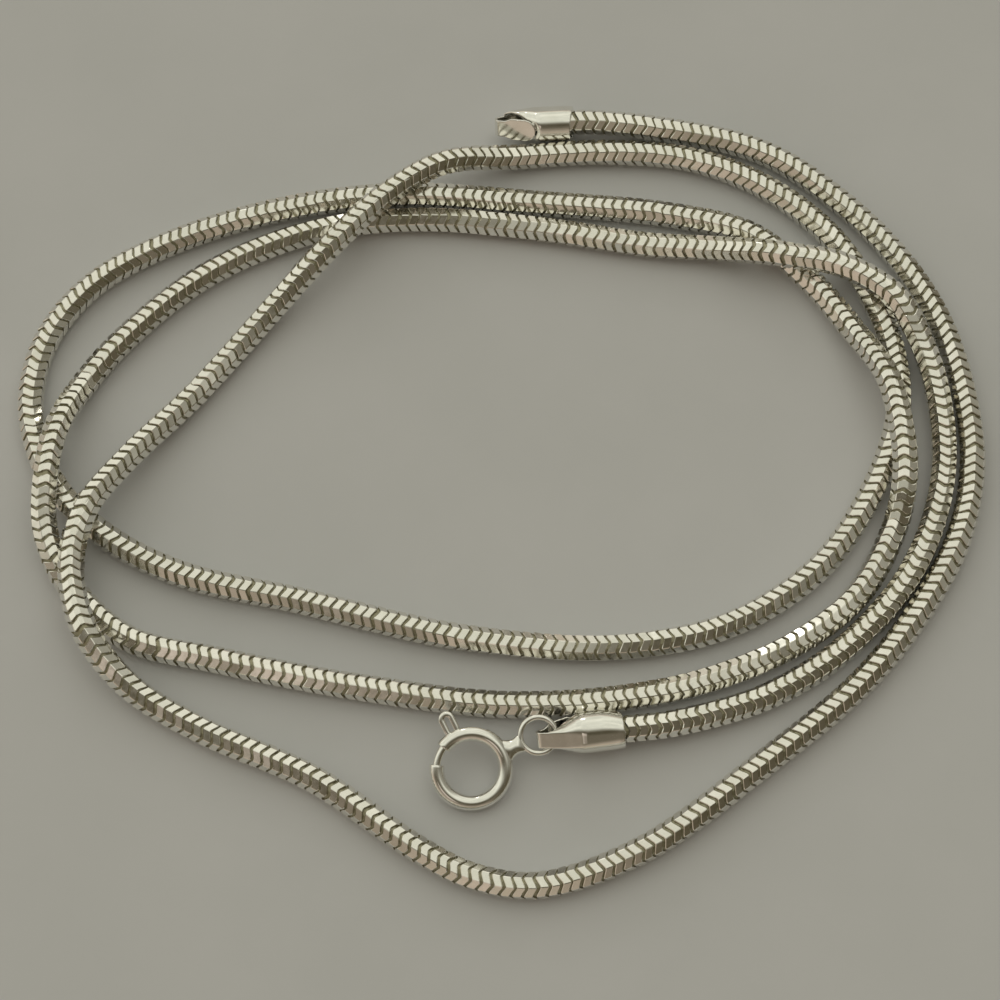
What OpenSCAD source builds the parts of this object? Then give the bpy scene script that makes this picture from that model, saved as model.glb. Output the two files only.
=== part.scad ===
/* [Chain] */
// Width of the snake chain across two opposite flats
chain_w = 1.8; // [1.6:0.05:1.8]
// Length of chain that sits inside each end tag
chain_in_tag = 2.2; // [1.6:0.1:2.4]

/* [End tags] */
// Outside width of the oval crimp tube
tag_od = 2.52; // [2.5:0.01:2.54]
// Width of the crimp tube's bore
tag_bore = 2.08; // [2.06:0.01:2.1]
// Length of the crimp tube
tag_tube_len = 2.95; // [2.9:0.05:3]
// Thickness of the folded tongue
tag_sheet = 0.2; // [0.18:0.01:0.22]
// Width of the tongue at its fold
tag_tongue_w = 1.1; // [1:0.05:1.2]
// Length of a whole end tag, from its mouth to its fold
tag_len = 6.1; // [6.05:0.05:6.15]

/* [Spring ring] */
// Radius of the ring's centre line
ring_r = 2.4; // [2.3:0.05:2.4]
// Diameter of the ring's tube
ring_tube = 1.06; // [1:0.02:1.06]
// Bore of the ring's tube, where the gate wire slides
ring_bore = 0.7; // [0.68:0.01:0.74]
// Diameter of the gate wire
gate_d = 0.6; // [0.56:0.01:0.6]
// Outside diameter of the connector loop
loop_od = 2.9; // [2.8:0.05:2.9]
// Diameter of the connector loop's wire
loop_wire = 0.4; // [0.36:0.02:0.4]
// Thickness of the gate's thumb lug
lug_t = 0.36; // [0.3:0.02:0.36]

/* [Hidden] */
$fn = 48;

// Moves everything so that the origin is under the middle of the coil.
place = [0.06, -1.7, 0];

// The chain's route, from end tag A to end tag B: X, Y and, where it leaves the
// surface, the lift of its centre line above where it rests.
route = [
    // end tag A, over the top and down the outer right side
    [3.5, 30.75, 0.58], [7.2, 30.95, 0.5], [13.8, 30.4], [20.5, 28.5], [26.2, 24.2],
    [30.5, 19.1], [33.1, 14.0], [34.4, 8.4], [34.6, 2.8], [33.2, -2.8],
    [30.0, -8.35], [25.5, -13.7],
    // the low front sweep
    [18.0, -19.8], [9.9, -25.5], [2.7, -28.0], [-1.8, -27.4], [-5.5, -25.6],
    [-13.0, -20.6], [-21.2, -17.0],
    // up the left side, over two strands
    [-26.3, -13.9, 0.5], [-29.3, -10.2, 1.9], [-30.5, -5.6, 1.9], [-29.8, -1.4, 1.9],
    [-27.2, 2.9, 0.9],
    // the long diagonal, and over two strands at the top
    [-22.4, 8.6], [-17.0, 15.2, 0.4], [-12.9, 19.5, 1.8], [-8.8, 23.8, 1.9],
    [-4.4, 26.7, 1.8], [1.5, 28.1, 0.2],
    // the inner right loop
    [8.2, 28.6], [15.0, 27.9], [20.8, 25.3], [25.2, 21.3], [28.0, 16.3],
    [29.4, 11.5], [29.4, 6.8], [27.4, 1.2], [23.1, -5.0], [16.4, -9.4],
    // back across the middle to the left
    [8.0, -11.1], [-3.0, -10.3], [-14.0, -7.7], [-23.5, -5.4], [-29.6, -1.9],
    // the outer left loop
    [-33.3, 2.6], [-34.7, 7.8], [-33.9, 12.7], [-30.8, 17.2], [-25.5, 20.6],
    // across the top to the right
    [-17.0, 23.6], [-7.8, 24.9], [3.0, 24.2], [13.0, 23.2], [19.0, 21.6],
    // down and over the inner loop on the right
    [23.3, 17.8], [26.4, 13.3, 0.5], [28.4, 9.2, 1.8], [29.2, 5.2, 1.9],
    [29.3, 1.2, 1.5], [28.5, -2.3, 0.1],
    // across the lower middle to the left
    [25.5, -7.35], [20.5, -11.1], [12.5, -14.1], [1.3, -15.3], [-10.0, -14.0],
    [-19.7, -12.1], [-26.7, -10.3], [-31.0, -6.3],
    // the inner left loop, over one strand
    [-32.7, -2.8, 0.9], [-32.8, 1.2, 1.9], [-32.3, 5.0, 1.7], [-30.8, 9.2, 0.1],
    [-27.1, 13.9], [-21.6, 18.5],
    // across the top, and over two strands on the right
    [-14.4, 21.7], [-7.0, 22.8], [2.2, 22.1], [11.0, 20.7], [16.5, 20.1, 0.5],
    [21.0, 19.0, 1.9], [25.5, 18.1, 1.9], [29.2, 15.7, 1.9], [31.2, 12.4, 1.0],
    [32.3, 8.4, 0.4], [32.5, 3.2], [31.3, -2.0],
    // down to end tag B
    [28.7, -6.8], [24.2, -11.4], [18.8, -14.7], [12.3, -16.7, 0.35],
    [8.9, -17.2, 0.62], [6.4, -17.5, 0.62]
];
last = len(route) - 1;

// The spring ring lies on its near edge, leaning on the chain with its lug.
ring_at = [-2, -19.95, 1.28];
ring_lean = 16.2;
ring_dip = 3.5;
ring_turn = 26;
loop_at = 5.2;

// Where the gate's opening starts and ends, round the ring from the neck.
gap_from = 118;
gap_to = 148;
lug_angle = 91;

function unit(v) = v / norm(v);
function lift(p) = len(p) > 2 ? p[2] : 0;
function at(i) = [route[i][0] + place[0], route[i][1] + place[1], chain_w / 2 + lift(route[i])];
function leg(i) = unit(at(i + 1) - at(i));
function way(i) = i == 0 ? leg(0) : i == last ? leg(last - 1) : unit(leg(i - 1) + leg(i));
function mitre(i) = i == last ? 1 : 1 / (leg(i) * way(i));

// One ring of the chain's tube: an octagon with flats above and below.
function ring_of(i) =
    let (t = way(i), s = unit(cross([0, 0, 1], t)), u = cross(t, s), r = chain_w / 2 / cos(22.5))
    [for (k = [0:7]) at(i) + r * (cos(22.5 + 45 * k) * mitre(i) * s + sin(22.5 + 45 * k) * u)];

function both(a, b, c, d) = [[a, d, c], [a, c, b]];

module chain() color("silver") {
    points = [for (i = [0:last]) each ring_of(i)];
    sides = [for (i = [0:last - 1]) for (k = [0:7]) let (m = (k + 1) % 8)
        each both(8 * i + k, 8 * i + m, 8 * i + 8 + m, 8 * i + 8 + k)];
    caps = [[for (k = [0:7]) k], [for (k = [7:-1:0]) 8 * last + k]];
    polyhedron(points = points, faces = concat(sides, caps));
}

// How far apart the two arcs of the oval crimp tube stand, and the slope of the
// two runs of the tongue against the tube.
oval = 0.25;
slope = 19;

module oval_bar(d, from, to) {
    for (side = [-1, 1]) translate([from, 0, side * oval]) rotate([0, 90, 0])
        cylinder(d = d, h = to - from);
    translate([from, -d / 2, -oval]) cube([to - from, d, 2 * oval]);
}

// A shape in X and Z, drawn through the whole width.
module across(width) rotate([90, 0, 0]) linear_extrude(height = width, center = true) children();

// An end tag: an oval crimp tube, cut off obliquely, whose lower wall runs on
// as a narrowing trough, then as a tongue. The tongue folds back over the
// trough's open side, and leaves an eye. X runs out from the mouth, and the
// folded leaf lies on the +Z side.
module end_tag(skew) {
    h = tag_sheet;
    w = tag_tongue_w;
    fold_r = 0.5;
    fold_x = tag_len - fold_r;
    // tube and trough
    difference() {
        union() {
            difference() {
                oval_bar(tag_od, 0, tag_tube_len);
                oval_bar(tag_bore, -1, tag_tube_len + 1);
            }
            translate([2.6, 0, -0.273]) rotate([0, 83.7, 0]) difference() {
                cylinder(r1 = 1.22, r2 = 0.6, h = 2.75);
                translate([0, 0, -0.1]) cylinder(r1 = 1.0425, r2 = 0.3775, h = 2.95);
            }
        }
        across(4) polygon([[-1, -0.2], [0, -0.2], [1, 1.9], [-1, 1.9]]);
        across(4) polygon([[2.55, 1.6], [4.35, -0.25], [4.7, -0.56], [5.2, -0.42],
            [7, -0.38], [7, 2], [2.55, 2]]);
    }
    // the tongue's lower run, its fold and its returned leaf with a rounded tip
    translate([fold_x, 0, 0]) {
        rotate([0, -slope, 0]) translate([-2.95, -w / 2, -fold_r]) cube([2.95, w, h]);
        rotate([90, 0, 0]) rotate([0, 0, slope - 90]) rotate_extrude(angle = 180 - 2 * slope)
            translate([fold_r - h, -w / 2]) square([h, w]);
        rotate([0, slope, 0]) translate([0, 0, fold_r - h]) {
            linear_extrude(height = h)
                polygon([[0, -w / 2], [0, w / 2], [-0.4, w / 2], [-0.4, -w / 2]]);
            rotate([0, 0, -skew]) linear_extrude(height = h) union() {
                polygon([[-0.1, -w / 2], [-0.1, w / 2], [-0.35, w / 2], [-0.95, 0.85], [-2, 0.85],
                    [-2, -0.85], [-0.95, -0.85], [-0.35, -w / 2]]);
                translate([-2, 0]) circle(r = 0.85);
            }
        }
    }
}

module end_tag_on(i, toward, roll, skew) {
    u = unit(at(i) - at(toward));
    translate(at(i) - chain_in_tag * u) rotate([0, 0, atan2(u[1], u[0])]) rotate([roll, 0, 0])
        end_tag(skew);
}

module end_tag_a() color("gainsboro") end_tag_on(0, 1, -52, 0);
module end_tag_b() color("gainsboro") end_tag_on(last, last - 1, 150, 7);

module in_ring_place() {
    translate(ring_at + place) rotate([ring_lean, 0, 0]) rotate([0, ring_dip, 0])
        rotate([0, 0, ring_turn]) children();
}

// A stretch of round bar or bore round the ring, from one angle to another.
module arc_bar(from, to, d) {
    rotate([0, 0, from]) rotate_extrude(angle = to - from) translate([ring_r, 0]) circle(d = d);
}

module spring_ring() color("gainsboro") in_ring_place() {
    difference() {
        union() {
            arc_bar(gap_to, gap_from + 360, ring_tube);
            translate([ring_r + 0.2, 0, 0]) rotate([0, 90, 0])
                cylinder(d = 0.72, h = loop_at - loop_od / 2 + loop_wire / 2 - ring_r - 0.2);
        }
        // bore that the gate wire slides back into, and the socket for its tip
        arc_bar(gap_from - 97, gap_from + 2, ring_bore);
        arc_bar(gap_to - 2, gap_to + 10, ring_bore);
        // slot for the thumb lug
        rotate([0, 0, lug_angle - 49]) rotate_extrude(angle = 59)
            translate([ring_r + 0.1, -lug_t / 2 - 0.06]) square([1, lug_t + 0.12]);
    }
    translate([loop_at, 0, 0]) rotate_extrude() translate([(loop_od - loop_wire) / 2, 0])
        circle(d = loop_wire);
}

module spring_ring_gate() color("silver") in_ring_place() {
    arc_bar(lug_angle - 18, gap_to + 6, gate_d);
    rotate([0, 0, lug_angle]) {
        translate([ring_r + 0.1, -0.28, -lug_t / 2]) cube([0.8, 0.56, lug_t]);
        translate([0, 0, -lug_t / 2]) linear_extrude(height = lug_t) difference() {
            union() {
                translate([3.5, -0.58]) square([0.32, 1.16]);
                translate([3.5, 0]) circle(r = 0.58);
                translate([3.82, 0]) circle(r = 0.58);
            }
            translate([3.45, -0.1]) square([0.5, 0.2]);
            translate([3.95, 0]) circle(r = 0.1);
        }
    }
}

chain();
end_tag_a();
end_tag_b();
spring_ring();
spring_ring_gate();
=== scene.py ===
import math

import bpy
import numpy as np
from mathutils import Matrix, Vector


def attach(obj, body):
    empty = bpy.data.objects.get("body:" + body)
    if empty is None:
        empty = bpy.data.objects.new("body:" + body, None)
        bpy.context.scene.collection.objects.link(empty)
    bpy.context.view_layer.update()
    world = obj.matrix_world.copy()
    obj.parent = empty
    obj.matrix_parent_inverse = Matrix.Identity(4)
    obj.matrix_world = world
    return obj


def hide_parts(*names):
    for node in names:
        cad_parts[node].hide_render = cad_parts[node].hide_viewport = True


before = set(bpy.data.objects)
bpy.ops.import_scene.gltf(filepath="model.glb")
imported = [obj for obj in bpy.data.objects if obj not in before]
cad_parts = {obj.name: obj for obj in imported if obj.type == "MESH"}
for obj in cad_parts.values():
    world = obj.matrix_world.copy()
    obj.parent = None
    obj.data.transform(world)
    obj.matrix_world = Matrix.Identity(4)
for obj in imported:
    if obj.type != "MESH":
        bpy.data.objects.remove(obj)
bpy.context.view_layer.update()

MM = 0.001
PLACE = np.array([0.06, -1.7, 0.0])
CHAIN_W = 1.8
PITCH = 0.76
CHAIN_IN_TAG = 2.2

# The chain's route in millimetres, from end tag A to end tag B: X, Y and the lift above where the chain rests.
ROUTE = [
    (3.5, 30.75, 0.58), (7.2, 30.95, 0.5), (13.8, 30.4), (20.5, 28.5), (26.2, 24.2),
    (30.5, 19.1), (33.1, 14.0), (34.4, 8.4), (34.6, 2.8), (33.2, -2.8),
    (30.0, -8.35), (25.5, -13.7),
    (18.0, -19.8), (9.9, -25.5), (2.7, -28.0), (-1.8, -27.4), (-5.5, -25.6),
    (-13.0, -20.6), (-21.2, -17.0),
    (-26.3, -13.9, 0.5), (-29.3, -10.2, 1.9), (-30.5, -5.6, 1.9), (-29.8, -1.4, 1.9),
    (-27.2, 2.9, 0.9),
    (-22.4, 8.6), (-17.0, 15.2, 0.4), (-12.9, 19.5, 1.8), (-8.8, 23.8, 1.9),
    (-4.4, 26.7, 1.8), (1.5, 28.1, 0.2),
    (8.2, 28.6), (15.0, 27.9), (20.8, 25.3), (25.2, 21.3), (28.0, 16.3),
    (29.4, 11.5), (29.4, 6.8), (27.4, 1.2), (23.1, -5.0), (16.4, -9.4),
    (8.0, -11.1), (-3.0, -10.3), (-14.0, -7.7), (-23.5, -5.4), (-29.6, -1.9),
    (-33.3, 2.6), (-34.7, 7.8), (-33.9, 12.7), (-30.8, 17.2), (-25.5, 20.6),
    (-17.0, 23.6), (-7.8, 24.9), (3.0, 24.2), (13.0, 23.2), (19.0, 21.6),
    (23.3, 17.8), (26.4, 13.3, 0.5), (28.4, 9.2, 1.8), (29.2, 5.2, 1.9),
    (29.3, 1.2, 1.5), (28.5, -2.3, 0.1),
    (25.5, -7.35), (20.5, -11.1), (12.5, -14.1), (1.3, -15.3), (-10.0, -14.0),
    (-19.7, -12.1), (-26.7, -10.3), (-31.0, -6.3),
    (-32.7, -2.8, 0.9), (-32.8, 1.2, 1.9), (-32.3, 5.0, 1.7), (-30.8, 9.2, 0.1),
    (-27.1, 13.9), (-21.6, 18.5),
    (-14.4, 21.7), (-7.0, 22.8), (2.2, 22.1), (11.0, 20.7), (16.5, 20.1, 0.5),
    (21.0, 19.0, 1.9), (25.5, 18.1, 1.9), (29.2, 15.7, 1.9), (31.2, 12.4, 1.0),
    (32.3, 8.4, 0.4), (32.5, 3.2), (31.3, -2.0),
    (28.7, -6.8), (24.2, -11.4), (18.8, -14.7), (12.3, -16.7, 0.35),
    (8.9, -17.2, 0.62), (6.4, -17.5, 0.62),
]
KNOTS = np.array([[p[0], p[1], CHAIN_W / 2 + (p[2] if len(p) > 2 else 0.0)] for p in ROUTE]) + PLACE

# How the chain is rolled about its own length: route point number and degrees, for its flats and for the zigzag of its
# links' edges. The angles run from the left of travel over the top. A flat is at the first angle and every 45 degrees from
# it, and a link's edge reaches furthest forward at the second and every 90 degrees from it.
FLATS = [(0, 85), (4, 100), (8, 111), (12.5, 101), (14.5, 87), (16.5, 105), (18, 112), (21, 121), (24, 117), (26, 119),
         (28.5, 139), (33, 141), (39.8, 160), (41.3, 186), (43, 186), (46, 178), (48, 176), (50, 191), (54, 185), (59.5, 198),
         (65.5, 241), (67.5, 244), (73, 225), (75, 210), (79, 190), (84.5, 184.5), (91, 203)]
ZIGZAG = [(0, 108), (4, 122), (8, 134), (12.5, 127), (14.5, 109), (16.5, 93), (18, 91), (21, 98), (27, 115), (33, 118),
          (39.8, 137), (41.3, 165), (48, 150), (54, 146), (59.5, 150), (65.5, 208), (67.5, 211), (72.5, 190), (79, 180), (84.5, 170),
          (91, 203)]

# The spring ring's place.
RING_AT = np.array([-2.0, -19.95, 1.28]) + PLACE
RING_LEAN, RING_DIP, RING_TURN, LOOP_AT = 16.2, 3.5, 26.0, 5.2
RING_R, RING_TUBE, GAP_FROM, GAP_TO, LUG_ANGLE = 2.4, 0.53, 118.0, 148.0, 91.0


# ---------------------------------------------------------------- camera

cam_data = bpy.data.cameras.new("camera")
cam = bpy.data.objects.new("camera", cam_data)
bpy.context.scene.collection.objects.link(cam)
cam_data.sensor_width = 36.0
cam_data.lens = 79.2
cam_data.clip_start, cam_data.clip_end = 0.005, 5.0
cam.location = (PLACE[0] * MM, (-54.72 + PLACE[1]) * MM, 151.35 * MM)
cam.rotation_euler = (math.radians(20.0), 0.0, 0.0)
bpy.context.scene.camera = cam


# ---------------------------------------------------------------- mesh helpers

def unit(v):
    return v / np.linalg.norm(v, axis=-1, keepdims=True)


def rot(axis, deg):
    return np.array(Matrix.Rotation(math.radians(deg), 3, axis))


def make(name, verts, faces, mats, face_mat=None, smooth=None, attributes=None):
    """A mesh object from millimetre points and quads or triangles."""
    mesh = bpy.data.meshes.new(name)
    mesh.from_pydata((np.asarray(verts) * MM).tolist(), [], [list(map(int, f)) for f in faces])
    for m in mats:
        mesh.materials.append(m)
    if face_mat is not None:
        mesh.polygons.foreach_set("material_index", np.asarray(face_mat, np.int32))
    if smooth is not None:
        flags = np.full(len(mesh.polygons), smooth) if isinstance(smooth, bool) else np.asarray(smooth)
        mesh.polygons.foreach_set("use_smooth", flags.astype(bool))
    for key, values in (attributes or {}).items():
        a = mesh.attributes.new(key, "FLOAT", "POINT")
        a.data.foreach_set("value", np.asarray(values, np.float32))
    mesh.validate()
    mesh.update()
    obj = bpy.data.objects.new(name, mesh)
    bpy.context.scene.collection.objects.link(obj)
    return obj


def grid_faces(rows, cols, close_rows=False, close_cols=False, start=0):
    """Quads of a grid of points, row by row, closed round either way."""
    i = np.arange(rows if close_rows else rows - 1)
    j = np.arange(cols if close_cols else cols - 1)
    i, j = np.meshgrid(i, j, indexing="ij")
    i2, j2 = (i + 1) % rows, (j + 1) % cols
    quads = np.stack([i * cols + j, i2 * cols + j, i2 * cols + j2, i * cols + j2], -1)
    return quads.reshape(-1, 4) + start


# ---------------------------------------------------------------- the chain's centre line

def through(points, steps=60):
    """A smooth curve through points (centripetal Catmull-Rom), as many dense points."""
    q = np.vstack([2 * points[0] - points[1], points, 2 * points[-1] - points[-2]])
    out, knots = [], [0]
    for i in range(1, len(q) - 2):
        p0, p1, p2, p3 = q[i - 1:i + 3]
        t1 = np.linalg.norm(p1 - p0) ** 0.5
        t2 = t1 + np.linalg.norm(p2 - p1) ** 0.5
        t3 = t2 + np.linalg.norm(p3 - p2) ** 0.5
        t = np.linspace(t1, t2, steps, endpoint=False)[:, None]
        a1 = (t1 - t) / t1 * p0 + t / t1 * p1
        a2 = (t2 - t) / (t2 - t1) * p1 + (t - t1) / (t2 - t1) * p2
        a3 = (t3 - t) / (t3 - t2) * p2 + (t - t2) / (t3 - t2) * p3
        b1 = (t2 - t) / t2 * a1 + t / t2 * a2
        b2 = (t3 - t) / (t3 - t1) * a2 + (t - t1) / (t3 - t1) * a3
        out.append((t2 - t) / (t2 - t1) * b1 + (t - t1) / (t2 - t1) * b2)
        knots.append(knots[-1] + steps)
    line = np.vstack(out + [points[-1:]])
    line[:, 2] = np.clip(line[:, 2], CHAIN_W / 2, CHAIN_W / 2 + 1.9)
    return line, knots


line, knot_index = through(KNOTS)
run = np.concatenate([[0], np.cumsum(np.linalg.norm(np.diff(line, axis=0), axis=1))])
knot_run = run[np.array(knot_index)]
LENGTH = run[-1]


def at_run(s):
    return np.stack([np.interp(s, run, line[:, k]) for k in range(3)], -1)


def frames(s):
    """Centre, tangent, side (left of travel, level) and up at run s."""
    c = at_run(s)
    t = unit(at_run(np.minimum(s + 0.35, LENGTH)) - at_run(np.maximum(s - 0.35, 0)))
    side = unit(np.cross([0, 0, 1.0], t))
    return c, t, side, np.cross(t, side)


def roll_at(s, table):
    """Degrees at run s: the table's own, and a slow uneven twist."""
    places = np.interp([k for k, _ in table], np.arange(len(knot_run)), knot_run)
    uneven = 1.8 * math.sin(s / 2.9) + 1.6 * math.sin(s / 1.27 + 1.3) + 1.6 * math.sin(s / 6.1 + 0.5)
    return float(np.interp(s, places, [a for _, a in table])) + uneven


# ---------------------------------------------------------------- materials

def nodes_of(material):
    material.use_nodes = True
    tree = material.node_tree
    for n in list(tree.nodes):
        tree.nodes.remove(n)
    out = tree.nodes.new("ShaderNodeOutputMaterial")
    bsdf = tree.nodes.new("ShaderNodeBsdfPrincipled")
    tree.links.new(bsdf.outputs[0], out.inputs[0])
    return tree, bsdf


def noise(tree, scale, detail=3.0, rough=0.55):
    co = tree.nodes.new("ShaderNodeTexCoord")
    n = tree.nodes.new("ShaderNodeTexNoise")
    n.inputs["Scale"].default_value = scale
    n.inputs["Detail"].default_value = detail
    n.inputs["Roughness"].default_value = rough
    tree.links.new(co.outputs["Object"], n.inputs["Vector"])
    return n.outputs["Fac"]


def mix_colour(tree, fac, a, b):
    m = tree.nodes.new("ShaderNodeMix")
    m.data_type = "RGBA"
    m.inputs[6].default_value = (*a, 1)
    m.inputs[7].default_value = (*b, 1)
    tree.links.new(fac, m.inputs[0])
    return m.outputs[2]


def remap(tree, value, lo, hi, from_lo=0.0, from_hi=1.0):
    m = tree.nodes.new("ShaderNodeMapRange")
    m.inputs["From Min"].default_value = from_lo
    m.inputs["From Max"].default_value = from_hi
    m.inputs["To Min"].default_value = lo
    m.inputs["To Max"].default_value = hi
    tree.links.new(value, m.inputs["Value"])
    return m.outputs[0]


def bump(tree, bsdf, height, strength, distance):
    b = tree.nodes.new("ShaderNodeBump")
    b.inputs["Strength"].default_value = strength
    b.inputs["Distance"].default_value = distance
    tree.links.new(height, b.inputs["Height"])
    tree.links.new(b.outputs[0], bsdf.inputs["Normal"])


def silver(name, light, deep, rough_lo, rough_hi, grain=2500.0, bump_mm=0.002):
    m = bpy.data.materials.new(name)
    tree, bsdf = nodes_of(m)
    bsdf.inputs["Metallic"].default_value = 1.0
    tree.links.new(mix_colour(tree, remap(tree, noise(tree, 900.0), 0.0, 1.0, 0.3, 0.7), deep, light), bsdf.inputs["Base Color"])
    tree.links.new(remap(tree, noise(tree, grain), rough_lo, rough_hi, 0.3, 0.7), bsdf.inputs["Roughness"])
    bump(tree, bsdf, noise(tree, grain * 0.6), 0.25, bump_mm * MM)
    return m


LINK = silver("link_silver", (0.93, 0.91, 0.86), (0.86, 0.84, 0.77), 0.10, 0.22)
FITTING = silver("fitting_silver", (0.94, 0.93, 0.89), (0.88, 0.87, 0.82), 0.10, 0.20, 1500.0, 0.003)

# painted shade: a dark olive colour for the chain's inside and the bands' side walls, standing in for the shade that
# falls between the links
GAP = bpy.data.materials.new("gap_painted_shade")
tree, bsdf = nodes_of(GAP)
bsdf.inputs["Metallic"].default_value = 0.8
bsdf.inputs["Roughness"].default_value = 0.5
tree.links.new(mix_colour(tree, noise(tree, 1200.0), (0.34, 0.32, 0.22), (0.50, 0.47, 0.34)), bsdf.inputs["Base Color"])


# ---------------------------------------------------------------- the links

WAVE = 0.135
BAND = 0.58
FLAT = CHAIN_W / 2
TOP = CHAIN_W + 1.9


def link_outline():
    """Round the link: angle and distance from the centre of an octagon's points, its corners a little broken."""
    angles, dist = [], []
    broken = 2.0
    for k in range(8):
        for a in (-22.5 + broken, -12.5, -4.5, 4.5, 12.5, 22.5 - broken):
            angles.append(45 * k + a)
            dist.append(FLAT / math.cos(math.radians(a)))
    return np.radians(np.array(angles)), np.array(dist)


def zigzag(angle):
    """How far forward a link's edge reaches: straight runs with rounded peaks, four of them round the link."""
    return WAVE * (np.cos(4 * angle) + 0.07 * np.cos(12 * angle))


def links(name, first, last):
    angle, dist = link_outline()
    n = len(angle)
    half = BAND / 2
    # the band's section: place along the chain and share of the radius
    section = [(-half, 0.74), (-half, 0.95), (-half + 0.05, 1.0), (half - 0.05, 1.0), (half, 0.95), (half, 0.74)]
    verts, faces, face_mat = [], [], []
    base_faces = grid_faces(len(section), n, close_rows=True, close_cols=True)
    # the bands' side walls and undersides take the gap colour, painted shade between the links
    mat_row = np.array([1, 0, 0, 0, 1, 1])
    base_mat = np.repeat(mat_row, n)
    rng = np.random.default_rng(7 + first)
    start = 0
    for k in range(first, last):
        s = (k + 0.5) * PITCH
        c, t, side, up = frames(np.array(s))
        jitter = rng.normal(0, 1, 4)
        flats = math.radians(roll_at(s, FLATS) + 0.9 * jitter[0])
        peak = math.radians(roll_at(s, ZIGZAG) + 0.9 * jitter[0])
        t = unit(t + math.radians(1.6) * (jitter[1] * side + jitter[2] * up))
        side = unit(side - (side @ t) * t)
        up = np.cross(t, side)
        around = angle + flats
        wave = zigzag(around - peak)
        out = np.cos(around)[:, None] * side + np.sin(around)[:, None] * up
        size = 1 + 0.004 * jitter[3]
        for along, share in section:
            verts.append(c + (along + wave)[:, None] * t + (dist * share * size)[:, None] * out)
        faces.append(base_faces + start)
        face_mat.append(base_mat)
        start += n * len(section)
    # the inside that shows between the bands: a core tube coloured dark with painted shade
    s0, s1 = first * PITCH, last * PITCH
    ss = np.arange(s0, s1 + 1e-6, PITCH)
    c, t, side, up = frames(np.minimum(ss, LENGTH))
    m = 16
    a = np.radians(np.arange(m) * 360 / m)
    r = FLAT * 0.86
    tube = c[:, None] + r * (np.cos(a)[None, :, None] * side[:, None] + np.sin(a)[None, :, None] * up[:, None])
    verts.append(tube.reshape(-1, 3))
    faces.append(grid_faces(len(ss), m, close_cols=True, start=start))
    face_mat.append(np.ones((len(ss) - 1) * m, int))
    caps = [list(range(start + m - 1, start - 1, -1)), list(range(start + (len(ss) - 1) * m, start + len(ss) * m))]
    all_faces = [list(f) for f in np.vstack(faces)] + caps
    all_mat = np.concatenate(face_mat + [np.array([1, 1])])
    verts = np.vstack(verts)
    # the chain lies flat on the surface
    verts[:, 2] = np.clip(verts[:, 2], 0.0, TOP)
    return make(name, verts, all_faces, [LINK, GAP], all_mat, smooth=False)


COUNT = int(LENGTH / PITCH)
parts = 5
edges = [round(COUNT * k / parts) for k in range(parts + 1)]
for k in range(parts):
    piece = links("chain_links_%d" % (k + 1), edges[k], edges[k + 1])
    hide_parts("chain")
    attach(piece, "necklace")


# ---------------------------------------------------------------- the end tags

def smoothstep(x):
    x = np.clip(x, 0, 1)
    return x * x * (3 - 2 * x)


def closed_mesh(name, verts, faces):
    """A mesh object in its own millimetre units, used only while a tag is put together."""
    mesh = bpy.data.meshes.new(name)
    mesh.from_pydata(np.asarray(verts, float).tolist(), [], [list(map(int, f)) for f in faces])
    obj = bpy.data.objects.new(name, mesh)
    bpy.context.scene.collection.objects.link(obj)
    clean(obj, 30)
    return obj


def rows_solid(name, rows):
    """A solid through rows of the same number of points, closed with a cap at both ends."""
    n = len(rows[0])
    faces = [list(f) for f in grid_faces(len(rows), n, close_cols=True)]
    faces += [list(range(n))[::-1], list(range((len(rows) - 1) * n, len(rows) * n))]
    return closed_mesh(name, np.vstack(rows), faces)


def wall_solid(name, outer, inner):
    """A tube wall between two sets of rows."""
    rows = list(outer) + list(inner)[::-1]
    return closed_mesh(name, np.vstack(rows), grid_faces(len(rows), len(outer[0]), close_rows=True, close_cols=True))


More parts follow.
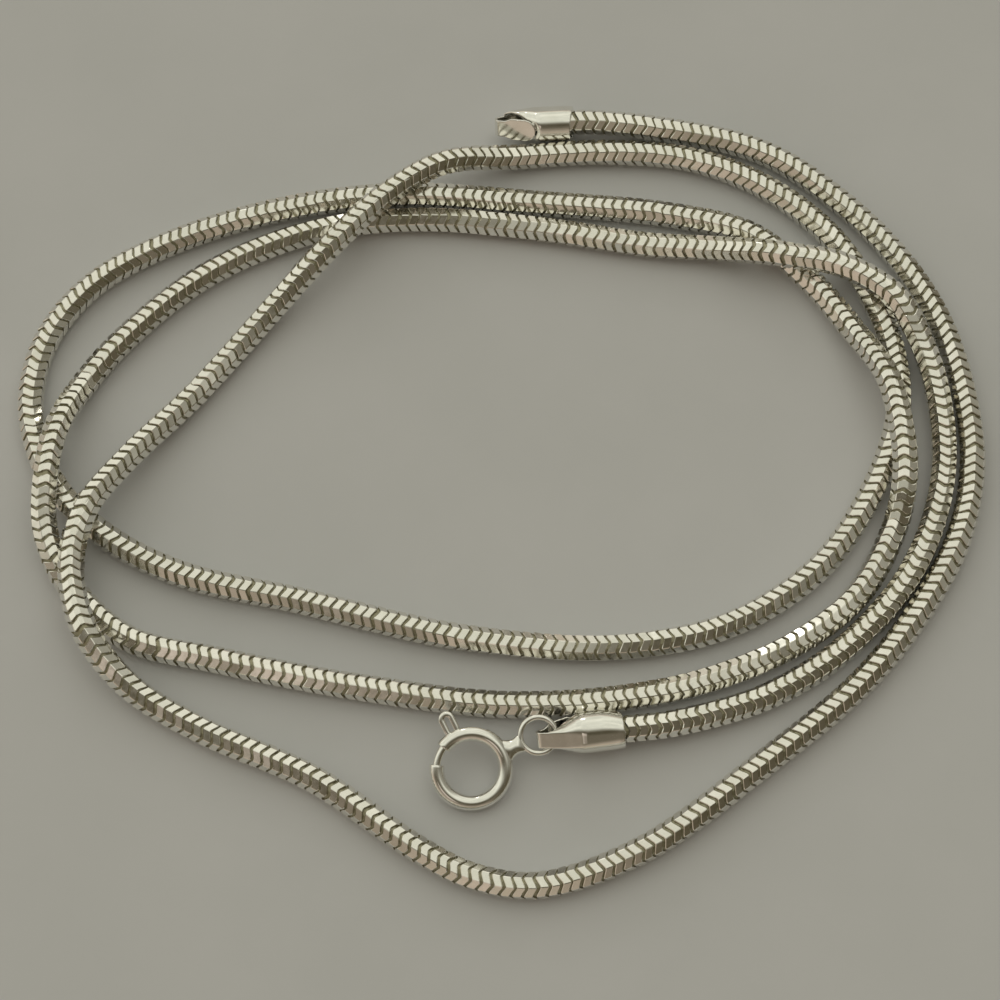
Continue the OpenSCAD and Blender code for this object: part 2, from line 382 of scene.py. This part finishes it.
# The wall's section along a tag: place, half width to either side, middle's height, how far the arcs stand apart, the upper
# arc's height, the base's height and half the width of its flat.
WALL = {
    "a": [(0.0, 1.18, 1.18, 0, 0.25, 1.18, -1.45, 0.15), (0.4, 1.24, 1.24, 0, 0.25, 1.24, -1.50, 0.18), (0.9, 1.26, 1.26, 0, 0.25, 1.26, -1.51, 0.2),
          (2.6, 1.26, 1.26, 0, 0.25, 1.26, -1.51, 0.25), (2.95, 1.25, 1.22, -0.02, 0.25, 1.22, -1.46, 0.33),
          (3.3, 1.24, 1.14, -0.10, 0.16, 1.16, -1.33, 0.40), (3.7, 1.21, 1.04, -0.13, 0.05, 1.06, -1.19, 0.46),
          (4.2, 1.20, 0.92, -0.10, 0, 1.05, -1.05, 0.55), (4.8, 1.13, 0.80, -0.03, 0, 0.95, -0.88, 0.62),
          (5.1, 1.06, 0.75, 0, 0, 0.85, -0.78, 0.64), (5.35, 0.96, 0.70, 0.03, 0, 0.75, -0.69, 0.66)],
    "b": [(0.0, 1.18, 1.21, 0, 0.25, 1.18, -1.45, 0.15), (0.4, 1.24, 1.32, 0, 0.25, 1.24, -1.50, 0.18), (0.9, 1.26, 1.45, 0, 0.25, 1.26, -1.51, 0.2),
          (1.5, 1.26, 1.55, 0, 0.25, 1.26, -1.51, 0.22), (2.6, 1.26, 1.56, 0, 0.25, 1.26, -1.51, 0.25), (2.95, 1.25, 1.52, -0.02, 0.25, 1.22, -1.46, 0.33),
          (3.3, 1.16, 1.40, -0.10, 0.16, 1.16, -1.33, 0.40), (3.7, 1.04, 1.20, -0.13, 0.05, 1.06, -1.19, 0.46),
          (4.2, 0.90, 0.95, -0.10, 0, 0.95, -1.01, 0.50), (4.8, 0.74, 0.76, -0.03, 0, 0.80, -0.805, 0.53),
          (5.1, 0.67, 0.68, 0, 0, 0.70, -0.70, 0.54), (5.35, 0.60, 0.60, 0.03, 0, 0.60, -0.615, 0.55)],
}


def wall_rows(table, inset, count=128):
    table = np.array(table, float)
    a = np.linspace(0, 2 * math.pi, count, endpoint=False) + math.pi / count
    ca, sa = np.cos(a), np.sin(a)
    rows = []
    for x in np.linspace(0, 5.35, 48):
        left, right, mid, apart, high, base, flat = [np.interp(x, table[:, 0], table[:, k]) for k in range(1, 8)]
        reach = np.where(ca < 0, left, right) - inset
        low = mid - apart
        flat = min(flat, 0.8 * (min(left, right) - inset))
        w = np.where(sa > 0, reach * ca, np.sign(ca) * (flat + (reach - flat) * np.abs(ca)))
        n = np.where(sa > 0, mid + apart + (high - inset) * sa, low + (low - base - inset) * sa)
        rows.append(np.stack([np.full(count, x), w, n], -1))
    return rows


def cutter(name, outline, left=-2.0, right=2.0):
    """A prism across the width, from points in X and Z."""
    outline = np.array(outline, float)
    rows = [np.stack([outline[:, 0], np.full(len(outline), y), outline[:, 1]], -1) for y in (left, right)]
    return rows_solid(name, rows)


def tongue_rows(skew, half):
    """The tongue's rows: up the trough's floor, round the fold, back as the leaf. Each is four corners."""
    half_thick = 0.1
    rows = []

    def row(centre, normal, w, left=0.0):
        corners = []
        for a, b in ((-1, -1), (1, -1), (1, 1), (-1, 1)):
            corners.append([centre[0] + normal[0] * half_thick * b, w * a + left, centre[1] + normal[1] * half_thick * b])
        rows.append(np.array(corners))

    low = math.radians(19)
    for x in np.linspace(-2.95, -0.06, 16):
        c = (5.6 + x * math.cos(low) + 0.4 * math.sin(low), x * math.sin(low) - 0.4 * math.cos(low))
        row(c, (math.sin(low), -math.cos(low)), half)
    for a in np.radians(np.linspace(-71, 71, 30)):
        row((5.6 + 0.4 * math.cos(a), 0.4 * math.sin(a)), (math.cos(a), math.sin(a)), half)
    turn = math.radians(skew)
    for u in list(np.linspace(-0.06, -2.0, 24)) + list(-2.0 - 0.85 * np.sin(np.radians(np.linspace(6, 88, 16)))):
        w = half + (0.85 - half) * float(smoothstep((-u - 0.3) / 0.7))
        if u < -2.0:
            w = math.sqrt(max(0.85 ** 2 - (u + 2.0) ** 2, 1e-4))
        corners = []
        for a, b in ((-1, -1), (1, -1), (1, 1), (-1, 1)):
            x, y, z = u, a * w, 0.4 + half_thick * b
            k = float(smoothstep(-u / 0.35))
            x, y = x * math.cos(turn * k) + y * math.sin(turn * k), -x * math.sin(turn * k) + y * math.cos(turn * k)
            corners.append([5.6 + x * math.cos(low) + z * math.sin(low), y, -x * math.sin(low) + z * math.cos(low)])
        rows.append(np.array(corners))
    return rows


def evaluated(obj):
    bpy.context.view_layer.update()
    dg = bpy.context.evaluated_depsgraph_get()
    mesh = bpy.data.meshes.new_from_object(obj.evaluated_get(dg))
    obj.modifiers.clear()
    obj.data = mesh
    return obj


def carve(base, other, operation):
    mod = base.modifiers.new("carve", "BOOLEAN")
    mod.operation, mod.solver, mod.object = operation, "EXACT", other
    evaluated(base)
    bpy.data.objects.remove(other)


def end_tag(name, node, tip, inner, roll, skew):
    """A sheet formed into an oval crimp tube, running on as a narrowing trough, then as a tongue folded back over an eye."""
    body = wall_solid(name + "_wall", wall_rows(WALL[name[-1]], 0.0), wall_rows(WALL[name[-1]], 0.2))
    carve(body, cutter(name + "_mouth", [(-1, -0.2), (0, -0.2), (0.5 if name == "tag_a" else 1, 1.9), (-1, 1.9)]), "DIFFERENCE")
    open_side = [(2.55, 1.6), (3.0, 1.19), (3.6, 0.56), (4.1, 0.0), (4.4, -0.3), (4.7, -0.53), (4.95, -0.53),
                 (5.2, -0.42), (7, -0.38), (7, 2), (2.3, 2)]
    if name == "tag_a":
        # its back edge is left a little higher
        high_side = [(2.55, 1.6), (3.0, 1.22), (3.6, 0.78), (4.1, 0.40), (4.5, 0.10), (4.9, -0.22), (5.2, -0.38), (7, -0.36), (7, 2), (2.3, 2)]
        carve(body, cutter(name + "_open_back", high_side, right=0.05), "DIFFERENCE")
        carve(body, cutter(name + "_open_front", open_side, left=0.0), "DIFFERENCE")
    else:
        carve(body, cutter(name + "_open", open_side), "DIFFERENCE")
    carve(body, rows_solid(name + "_tongue", tongue_rows(skew, 0.64 if name == "tag_a" else 0.56)), "UNION")
    # one even skin, its edges and joins eased as in drawn sheet
    mod = body.modifiers.new("skin", "REMESH")
    mod.mode, mod.voxel_size, mod.adaptivity = "VOXEL", 0.04, 0.0
    mod = body.modifiers.new("ease", "SMOOTH")
    mod.factor, mod.iterations = 0.5, 6
    evaluated(body)
    pts = np.array([v.co for v in body.data.vertices])
    faces = [list(p.vertices) for p in body.data.polygons]
    bpy.data.objects.remove(body)
    u = unit(tip - inner)
    heading = math.degrees(math.atan2(u[1], u[0]))
    turn = rot("Z", heading) @ rot("X", roll)
    pts = pts @ turn.T + (tip - CHAIN_IN_TAG * u)
    pts[:, 2] = np.maximum(pts[:, 2], 0)
    obj = make(name, pts, faces, [FITTING], smooth=True)
    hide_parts(node)
    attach(obj, "necklace")
    return obj


def clean(obj, angle=35):
    """Drops unused points, turns faces outwards and keeps edges over the angle sharp."""
    import bmesh
    bm = bmesh.new()
    bm.from_mesh(obj.data)
    bmesh.ops.remove_doubles(bm, verts=bm.verts, dist=1e-7)
    loose = [v for v in bm.verts if not v.link_faces]
    bmesh.ops.delete(bm, geom=loose, context="VERTS")
    bmesh.ops.recalc_face_normals(bm, faces=bm.faces)
    for e in bm.edges:
        if len(e.link_faces) == 2:
            e.smooth = e.calc_face_angle(0) < math.radians(angle)
    bm.to_mesh(obj.data)
    bm.free()
    obj.data.update()


end_tag("tag_a", "end_tag_a", KNOTS[0], KNOTS[1], -52, 0)
end_tag("tag_b", "end_tag_b", KNOTS[-1], KNOTS[-2], 150, 7)


# ---------------------------------------------------------------- the spring ring

RING_TURNED = rot("X", RING_LEAN) @ rot("Y", RING_DIP) @ rot("Z", RING_TURN)


def ring_place(pts):
    return np.asarray(pts) @ RING_TURNED.T + RING_AT


def arc_tube(start, end, profile, steps, sides=40, radius=RING_R):
    """A closed solid of revolution bent round the ring: profile is (angle offset in degrees, tube radius) from one end to the other."""
    rows = []
    for ang, r in profile:
        th = math.radians(ang)
        out = np.array([math.cos(th), math.sin(th), 0])
        a = np.linspace(0, 2 * math.pi, sides, endpoint=False)
        rows.append(out * radius + r * (np.cos(a)[:, None] * out + np.sin(a)[:, None] * np.array([0, 0, 1.0])))
    pts = np.vstack(rows)
    faces = [list(f) for f in grid_faces(len(rows), sides, close_cols=True)]
    return pts, faces


def bar_profile(a0, a1, r, step=3.0, bevel=0.05, hole=None):
    """From one end to the other: a hole's floor, its wall, a bevelled rim, the outside, and the same at the far end."""
    d = math.degrees(bevel / RING_R)
    prof = []
    if hole:
        depth = math.degrees(hole[1] / RING_R)
        prof += [(a0 + depth, 0.0), (a0 + depth, hole[0]), (a0, hole[0])]
    else:
        prof += [(a0, 0.0)]
    prof += [(a0, r - bevel), (a0 + d * 0.4, r - bevel * 0.3), (a0 + d, r)]
    for a in np.arange(a0 + d + step, a1 - d - step * 0.5, step):
        prof.append((a, r))
    prof += [(a1 - d, r), (a1 - d * 0.4, r - bevel * 0.3), (a1, r - bevel)]
    if hole:
        prof += [(a1, hole[0]), (a1 - depth, hole[0]), (a1 - depth, 0.0)]
    else:
        prof += [(a1, 0.0)]
    return prof


def join_union(base, others, name):
    """One solid of several that overlap."""
    for o in others:
        mod = base.modifiers.new("union", "BOOLEAN")
        mod.operation = "UNION"
        mod.solver = "EXACT"
        mod.object = o
        bpy.context.view_layer.objects.active = base
        bpy.context.view_layer.update()
        dg = bpy.context.evaluated_depsgraph_get()
        mesh = bpy.data.meshes.new_from_object(base.evaluated_get(dg))
        base.modifiers.clear()
        base.data = mesh
        bpy.data.objects.remove(o)
    base.name = name
    return base


# body: from the far side of the opening all the way round to its near side, hollow at both ends
pts, faces = arc_tube(0, 0, bar_profile(GAP_TO, GAP_FROM + 360, RING_TUBE, hole=(0.34, 0.8)), 0)
body = make("ring_body", ring_place(pts), faces, [FITTING], smooth=True)
clean(body)

# the slot that the lug slides along, open into the tube's bore
rows = []
for ang in np.linspace(LUG_ANGLE - 49, LUG_ANGLE + 10, 48):
    th = math.radians(ang)
    rows.append([[math.cos(th) * r, math.sin(th) * r, z] for r, z in ((2.5, -0.24), (3.3, -0.24), (3.3, 0.24), (2.5, 0.24))])
faces = [list(f) for f in grid_faces(len(rows), 4, close_cols=True)] + [[0, 1, 2, 3], [4 * len(rows) - 4 + k for k in (3, 2, 1, 0)]]
slot = make("ring_slot", ring_place(np.vstack(rows)), faces, [FITTING], smooth=False)
clean(slot)
carve(body, slot, "DIFFERENCE")
clean(body)

# neck: a stem waisted in the middle, flaring into the body and into the loop
prof = [(2.5, 0.0, 0.0), (2.5, 0.92, 0.42), (2.72, 0.90, 0.46), (2.84, 0.82, 0.47), (2.96, 0.72, 0.46), (3.08, 0.65, 0.45),
        (3.22, 0.60, 0.43), (3.38, 0.57, 0.42), (3.54, 0.575, 0.40), (3.68, 0.60, 0.37), (3.80, 0.64, 0.32), (3.90, 0.64, 0.27),
        (3.98, 0.52, 0.21), (4.04, 0.30, 0.13), (4.06, 0.0, 0.0)]
sides = 40
a = np.linspace(0, 2 * math.pi, sides, endpoint=False)
pts = np.vstack([np.stack([np.full(sides, x), ry * np.cos(a), rz * np.sin(a)], -1) for x, ry, rz in prof])
neck = make("ring_neck", ring_place(pts), [list(f) for f in grid_faces(len(prof), sides, close_cols=True)], [FITTING], smooth=True)
clean(neck)

# connector loop
big, small = 96, 20
t = np.linspace(0, 2 * math.pi, big, endpoint=False)
a = np.linspace(0, 2 * math.pi, small, endpoint=False)
rr = 1.25 + 0.21 * np.cos(a)
pts = np.stack([LOOP_AT + np.cos(t)[:, None] * rr, np.sin(t)[:, None] * rr, np.broadcast_to(0.21 * np.sin(a), (big, small))], -1).reshape(-1, 3)
loop = make("ring_loop", ring_place(pts), [list(f) for f in grid_faces(big, small, close_rows=True, close_cols=True)], [FITTING], smooth=True)
clean(loop)

ring = join_union(body, [neck, loop], "ring")
clean(ring)
for p in ring.data.polygons:
    p.use_smooth = True
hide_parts("spring_ring")
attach(ring, "necklace")

# gate wire
pts, faces = arc_tube(0, 0, bar_profile(LUG_ANGLE - 18, GAP_TO + 6, 0.29, bevel=0.06), 0, sides=28)
gate = make("gate_wire", ring_place(pts), faces, [FITTING], smooth=True)
clean(gate)

# thumb lug: a flat wire bent into a tight U, its legs going into the ring
path = []
for x in np.linspace(2.35, 3.75, 8):
    path.append((x, -0.36))
for ang in np.linspace(-90, 90, 19):
    path.append((3.8 + 0.36 * math.cos(math.radians(ang)), 0.36 * math.sin(math.radians(ang))))
for x in np.linspace(3.75, 2.35, 8):
    path.append((x, 0.36))
path = np.array(path)
grad = unit(np.gradient(path, axis=0))
across = np.stack([-grad[:, 1], grad[:, 0]], -1)
sides = 20
a = np.linspace(0, 2 * math.pi, sides, endpoint=False)
sx = np.sign(np.cos(a)) * np.abs(np.cos(a)) ** 0.75 * 0.22
sz = np.sign(np.sin(a)) * np.abs(np.sin(a)) ** 0.75 * 0.175
near = np.clip((path[:, 0] - 2.35) / 0.6, 0, 1)
rows = []
for p, g, k in zip(path, across, near):
    # the legs close in towards the slot that they come out of
    y = p[1] * (0.35 + 0.65 * smoothstep(k))
    rows.append(np.stack([p[0] + g[0] * sx, y + g[1] * sx * (0.5 + 0.5 * k), sz], -1))
pts = np.vstack(rows) @ rot("Z", LUG_ANGLE).T
faces = [list(f) for f in grid_faces(len(rows), sides, close_cols=True)]
faces += [list(range(sides))[::-1], list(range((len(rows) - 1) * sides, len(rows) * sides))]
lug = make("gate_lug", ring_place(pts), faces, [FITTING], smooth=True)
clean(lug, 50)
for piece in (gate, lug):
    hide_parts("spring_ring_gate")
    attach(piece, "gate")


# ---------------------------------------------------------------- floor and light

floor_mesh = bpy.data.meshes.new("floor")
h = 1.2
floor_mesh.from_pydata([(-h, -h, 0), (h, -h, 0), (h, h, 0), (-h, h, 0)], [], [(0, 1, 2, 3)])
floor = bpy.data.objects.new("floor", floor_mesh)
bpy.context.scene.collection.objects.link(floor)
FLOOR = bpy.data.materials.new("paper")
tree, bsdf = nodes_of(FLOOR)
grain = remap(tree, noise(tree, 60.0, 5.0, 0.6), 0, 1, 0.35, 0.65)
tree.links.new(mix_colour(tree, grain, (0.66, 0.66, 0.672), (0.688, 0.685, 0.70)), bsdf.inputs["Base Color"])
bsdf.inputs["Roughness"].default_value = 0.75
bsdf.inputs["Specular IOR Level"].default_value = 0.2
floor_mesh.materials.append(FLOOR)

# the room: a wide pale window beyond the object, and the rest of it dim
world = bpy.data.worlds.new("world")
bpy.context.scene.world = world
world.use_nodes = True
tree = world.node_tree
for n in list(tree.nodes):
    tree.nodes.remove(n)
out = tree.nodes.new("ShaderNodeOutputWorld")
background = tree.nodes.new("ShaderNodeBackground")
tree.links.new(background.outputs[0], out.inputs[0])
co = tree.nodes.new("ShaderNodeTexCoord")
sep = tree.nodes.new("ShaderNodeSeparateXYZ")
tree.links.new(co.outputs["Generated"], sep.inputs[0])


def smooth_range(value, from_lo, from_hi, lo=0.0, hi=1.0):
    m = tree.nodes.new("ShaderNodeMapRange")
    m.interpolation_type = "SMOOTHSTEP"
    m.inputs["From Min"].default_value = from_lo
    m.inputs["From Max"].default_value = from_hi
    m.inputs["To Min"].default_value = lo
    m.inputs["To Max"].default_value = hi
    tree.links.new(value, m.inputs["Value"])
    return m.outputs[0]


def times(a, b):
    m = tree.nodes.new("ShaderNodeMath")
    m.operation = "MULTIPLY"
    tree.links.new(a, m.inputs[0])
    tree.links.new(b, m.inputs[1])
    return m.outputs[0]


def blend(fac, a, b):
    """Between two colours or colour outputs."""
    m = tree.nodes.new("ShaderNodeMix")
    m.data_type = "RGBA"
    for value, socket in ((a, m.inputs[6]), (b, m.inputs[7])):
        if isinstance(value, tuple):
            socket.default_value = (*value, 1)
        else:
            tree.links.new(value, socket)
    tree.links.new(fac, m.inputs[0])
    return m.outputs[2]


patches = tree.nodes.new("ShaderNodeTexNoise")
patches.inputs["Scale"].default_value = 3.6
patches.inputs["Detail"].default_value = 3.0
tree.links.new(co.outputs["Generated"], patches.inputs["Vector"])
window = times(smooth_range(sep.outputs["Y"], -0.42, 0.02), smooth_range(sep.outputs["Z"], 0.02, 0.30))
window = times(window, smooth_range(sep.outputs["X"], 0.40, 0.80, 1.0, 0.25))
low = blend(smooth_range(patches.outputs["Fac"], 0.35, 0.65), (0.54, 0.45, 0.36), (0.40, 0.34, 0.26))
# the room is darker towards the front right
low = blend(smooth_range(sep.outputs["X"], 0.20, 0.62), low, (0.09, 0.075, 0.045))
overhead = blend(smooth_range(patches.outputs["Fac"], 0.40, 0.60), (0.075, 0.065, 0.04), (0.115, 0.10, 0.07))
dim = blend(smooth_range(sep.outputs["Z"], 0.10, 0.82), low, overhead)
# a light patch of wall high on the left
patch_at = tree.nodes.new("ShaderNodeVectorMath")
patch_at.operation = "DOT_PRODUCT"
patch_at.inputs[1].default_value = (-0.24, -0.62, 0.75)
tree.links.new(co.outputs["Generated"], patch_at.inputs[0])
dim = blend(smooth_range(patch_at.outputs["Value"], 0.980, 0.995), dim, (0.60, 0.52, 0.44))
pale = blend(smooth_range(patches.outputs["Fac"], 0.35, 0.65), (0.85, 0.84, 0.72), (0.66, 0.66, 0.56))
tree.links.new(blend(window, dim, pale), background.inputs[0])
background.inputs[1].default_value = 1.0


def area(name, place, target, size, power, colour):
    light = bpy.data.lights.new(name, "AREA")
    light.shape = "RECTANGLE"
    light.size, light.size_y = size
    light.energy = power
    light.color = colour
    obj = bpy.data.objects.new(name, light)
    bpy.context.scene.collection.objects.link(obj)
    obj.location = place
    obj.rotation_mode = "QUATERNION"
    obj.rotation_quaternion = (Vector(target) - Vector(place)).to_track_quat("-Z", "Y")
    return obj


area("lamp", (-0.12, 0.62, 0.26), (0, 0, 0), (0.03, 0.03), 0.07, (1.0, 0.99, 0.96))

scene = bpy.context.scene
scene.view_settings.view_transform = "Standard"
scene.view_settings.look = "None"
scene.view_settings.exposure = 0.0
